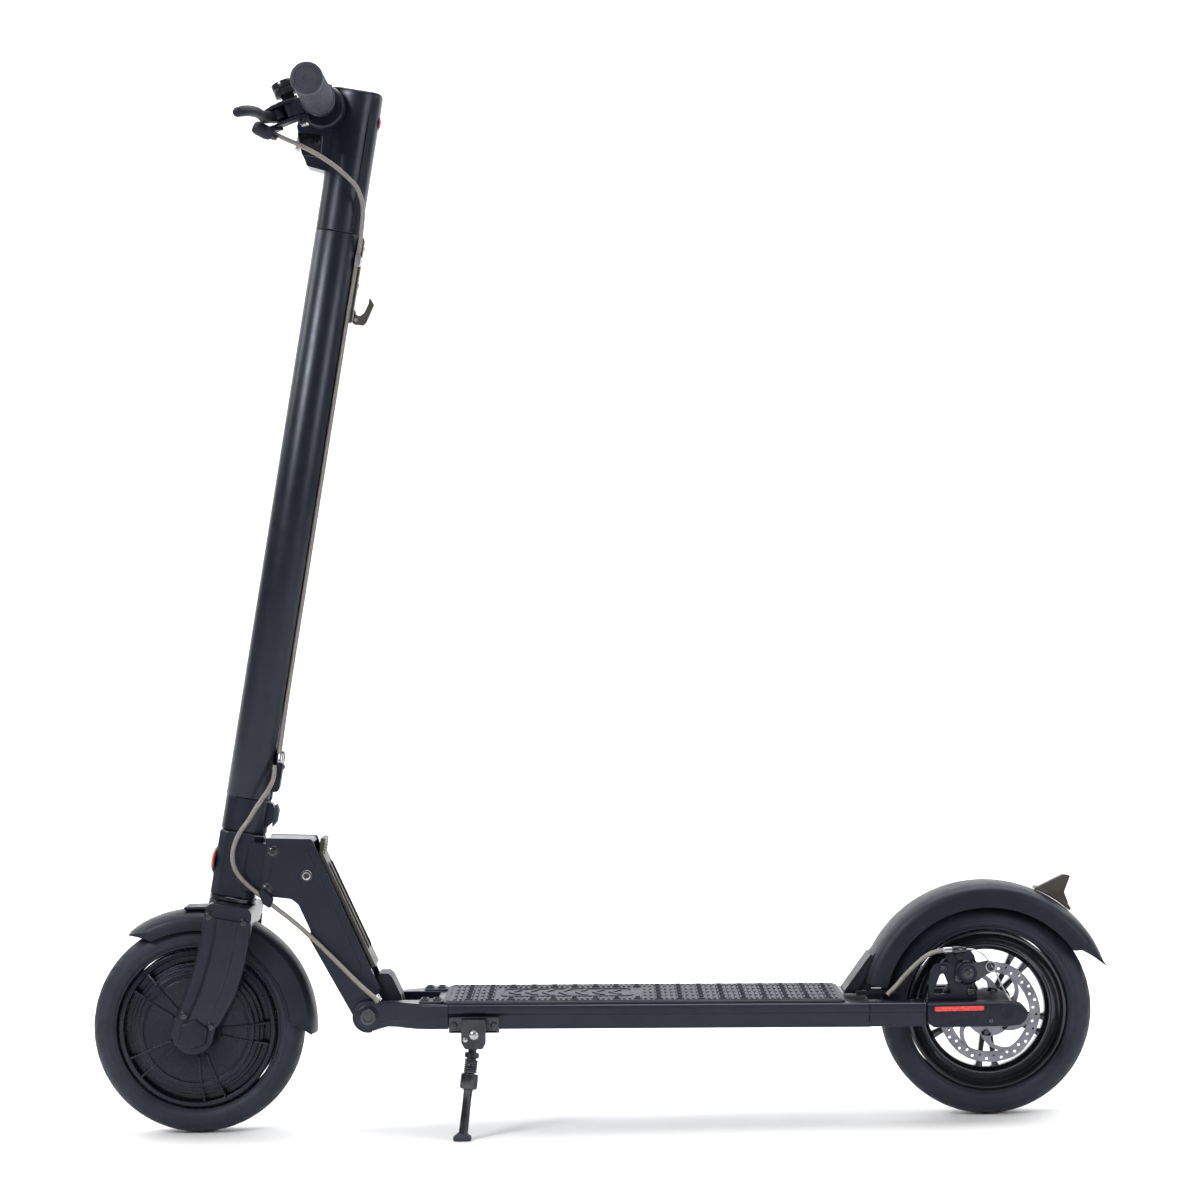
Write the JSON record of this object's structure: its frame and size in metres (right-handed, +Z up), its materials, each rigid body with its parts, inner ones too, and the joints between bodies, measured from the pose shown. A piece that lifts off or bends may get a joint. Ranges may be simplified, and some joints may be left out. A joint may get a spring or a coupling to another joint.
{
  "type": "electric kick scooter",
  "caption": "Folding electric kick scooter with hub motor front wheel, rear disc brake, long flat deck, lock lever at the neck and side kickstand.",
  "frame": {"origin": "on the ground below the middle of the scooter's box", "axes": "+X to the rear wheel, +Y to the rider's right hand, +Z up"},
  "size_m": [1.0902, 0.43, 1.1239],
  "materials": {
    "frame": "satin",
    "plastic": "satin",
    "rubber": "matte",
    "tyre": "matte",
    "bronze": "satin",
    "steel": "polished",
    "cable": "braided, satin",
    "red": "glossy",
    "lens": "smoked gloss",
    "cell": "shrink wrap",
    "copper": "enamelled windings"
  },
  "bodies": {
    "deck": {"deck_extrusion": "frame", "bottom_cover": "plastic", "deck_mat": "rubber", "controller": "plastic", "front_casting": "frame", "fold_bolt": "steel", "latch_bracket": "plastic", "rear_arm_left": "frame", "rear_arm_right": "frame", "arm_cover_left": "plastic", "arm_cover_right": "plastic", "side_reflector_left": "red", "side_reflector_right": "red", "caliper_bracket": "frame", "caliper": "plastic", "rear_fender": "plastic", "fender_catch": "bronze", "rear_axle": "steel", "kickstand_bracket": "plastic", "rear_cable": "cable"},
    "neck": {"neck_frame": "frame", "lever_pin": "steel", "head_tube": "frame", "headset_bearing": "steel", "front_reflector": "red", "lower_cable": "cable"},
    "lock_lever": {"lock_lever": "bronze"},
    "steering": {"fork": "frame", "fork_cover_left": "plastic", "fork_cover_right": "plastic", "front_fender": "plastic", "motor_stator": "copper", "stem_collar": "frame", "stem_tube": "frame", "battery_pack": "cell", "head_casting": "frame", "headlight_lens": "lens", "display": "lens", "handlebar": "frame", "grip_left": "rubber", "grip_right": "rubber", "hook_bracket": "bronze", "brake_perch": "plastic", "bell": "plastic", "throttle_body": "plastic", "upper_cable": "cable"},
    "charge_flap": {"charge_flap": "rubber"},
    "stem_hook": {"stem_hook": "bronze"},
    "power_button": {"power_button": "red"},
    "brake_lever": {"brake_lever": "plastic"},
    "bell_striker": {"bell_striker": "plastic"},
    "throttle_paddle": {"throttle_paddle": "plastic"},
    "front_wheel": {"front_tyre": "tyre", "hub_motor_shell": "frame"},
    "rear_wheel": {"rear_tyre": "tyre", "rear_rim": "frame", "brake_rotor": "steel"},
    "kickstand": {"kickstand_leg": "plastic", "kickstand_spring": "steel"},
    "caliper_arm": {"caliper_arm": "plastic"}
  },
  "joints": [
    {"name": "fold", "type": "hinge", "parent": "deck", "child": "neck", "pos_m": [-0.247, 0, 0.124], "axis": [0, 1, 0], "range_deg": [0, 77.6], "deforming": ["lower_cable"]},
    {"name": "steer", "type": "hinge", "parent": "neck", "child": "steering", "pos_m": [-0.3796, 0, 0.3233], "axis": [0.1797, 0, 0.9837], "range_deg": [-60, 60], "deforming": ["lower_cable"]},
    {"name": "front_wheel_spin", "type": "hinge", "parent": "steering", "child": "front_wheel", "pos_m": [-0.4319, 0, 0.1134], "axis": [0, 1, 0], "continuous": true},
    {"name": "rear_wheel_spin", "type": "hinge", "parent": "deck", "child": "rear_wheel", "pos_m": [0.4156, 0, 0.1134], "axis": [0, 1, 0], "continuous": true},
    {"name": "kickstand_fold", "type": "hinge", "parent": "deck", "child": "kickstand", "pos_m": [-0.1325, -0.0825, 0.109], "axis": [0, -1, 0], "range_deg": [0, 92]},
    {"name": "lock_lever_pull", "type": "hinge", "parent": "neck", "child": "lock_lever", "pos_m": [-0.31, 0, 0.2752], "axis": [0, 1, 0], "range_deg": [0, 8], "stiffness_Nm_per_rad": 3},
    {"name": "charge_flap_open", "type": "hinge", "parent": "steering", "child": "charge_flap", "pos_m": [-0.34375, 0, 0.34928], "axis": [0, -1, 0], "range_deg": [0, 100]},
    {"name": "stem_hook_swing", "type": "hinge", "parent": "steering", "child": "stem_hook", "pos_m": [-0.24617, 0, 0.87023], "axis": [0, 1, 0], "range_deg": [0, 12], "stiffness_Nm_per_rad": 0.3},
    {"name": "power_button_press", "type": "slide", "parent": "steering", "child": "power_button", "axis": [-0.9837, 0, 0.1797], "range_m": [0, 0.0015], "stiffness_N_per_m": 600},
    {"name": "brake_lever_pull", "type": "hinge", "parent": "steering", "child": "brake_lever", "pos_m": [-0.3163, -0.088, 1.07997], "axis": [-0.3663, 0, 0.9305], "range_deg": [0, 20], "stiffness_Nm_per_rad": 1},
    {"name": "bell_strike", "type": "hinge", "parent": "steering", "child": "bell_striker", "pos_m": [-0.3017, -0.058, 1.10292], "axis": [0.3663, 0, -0.9305], "range_deg": [0, 12], "stiffness_Nm_per_rad": 0.02},
    {"name": "throttle_press", "type": "hinge", "parent": "steering", "child": "throttle_paddle", "pos_m": [-0.2735, 0.054, 1.09682], "axis": [0, -1, 0], "range_deg": [0, 25], "stiffness_Nm_per_rad": 0.1},
    {"name": "caliper_arm_pull", "type": "hinge", "parent": "deck", "child": "caliper_arm", "pos_m": [0.3906, -0.064, 0.1587], "axis": [0, -1, 0], "range_deg": [0, 24], "stiffness_Nm_per_rad": 0.5}
  ],
  "couplings": [
    {"joint": "caliper_arm_pull", "follows": "brake_lever_pull", "ratio": 1.2}
  ]
}
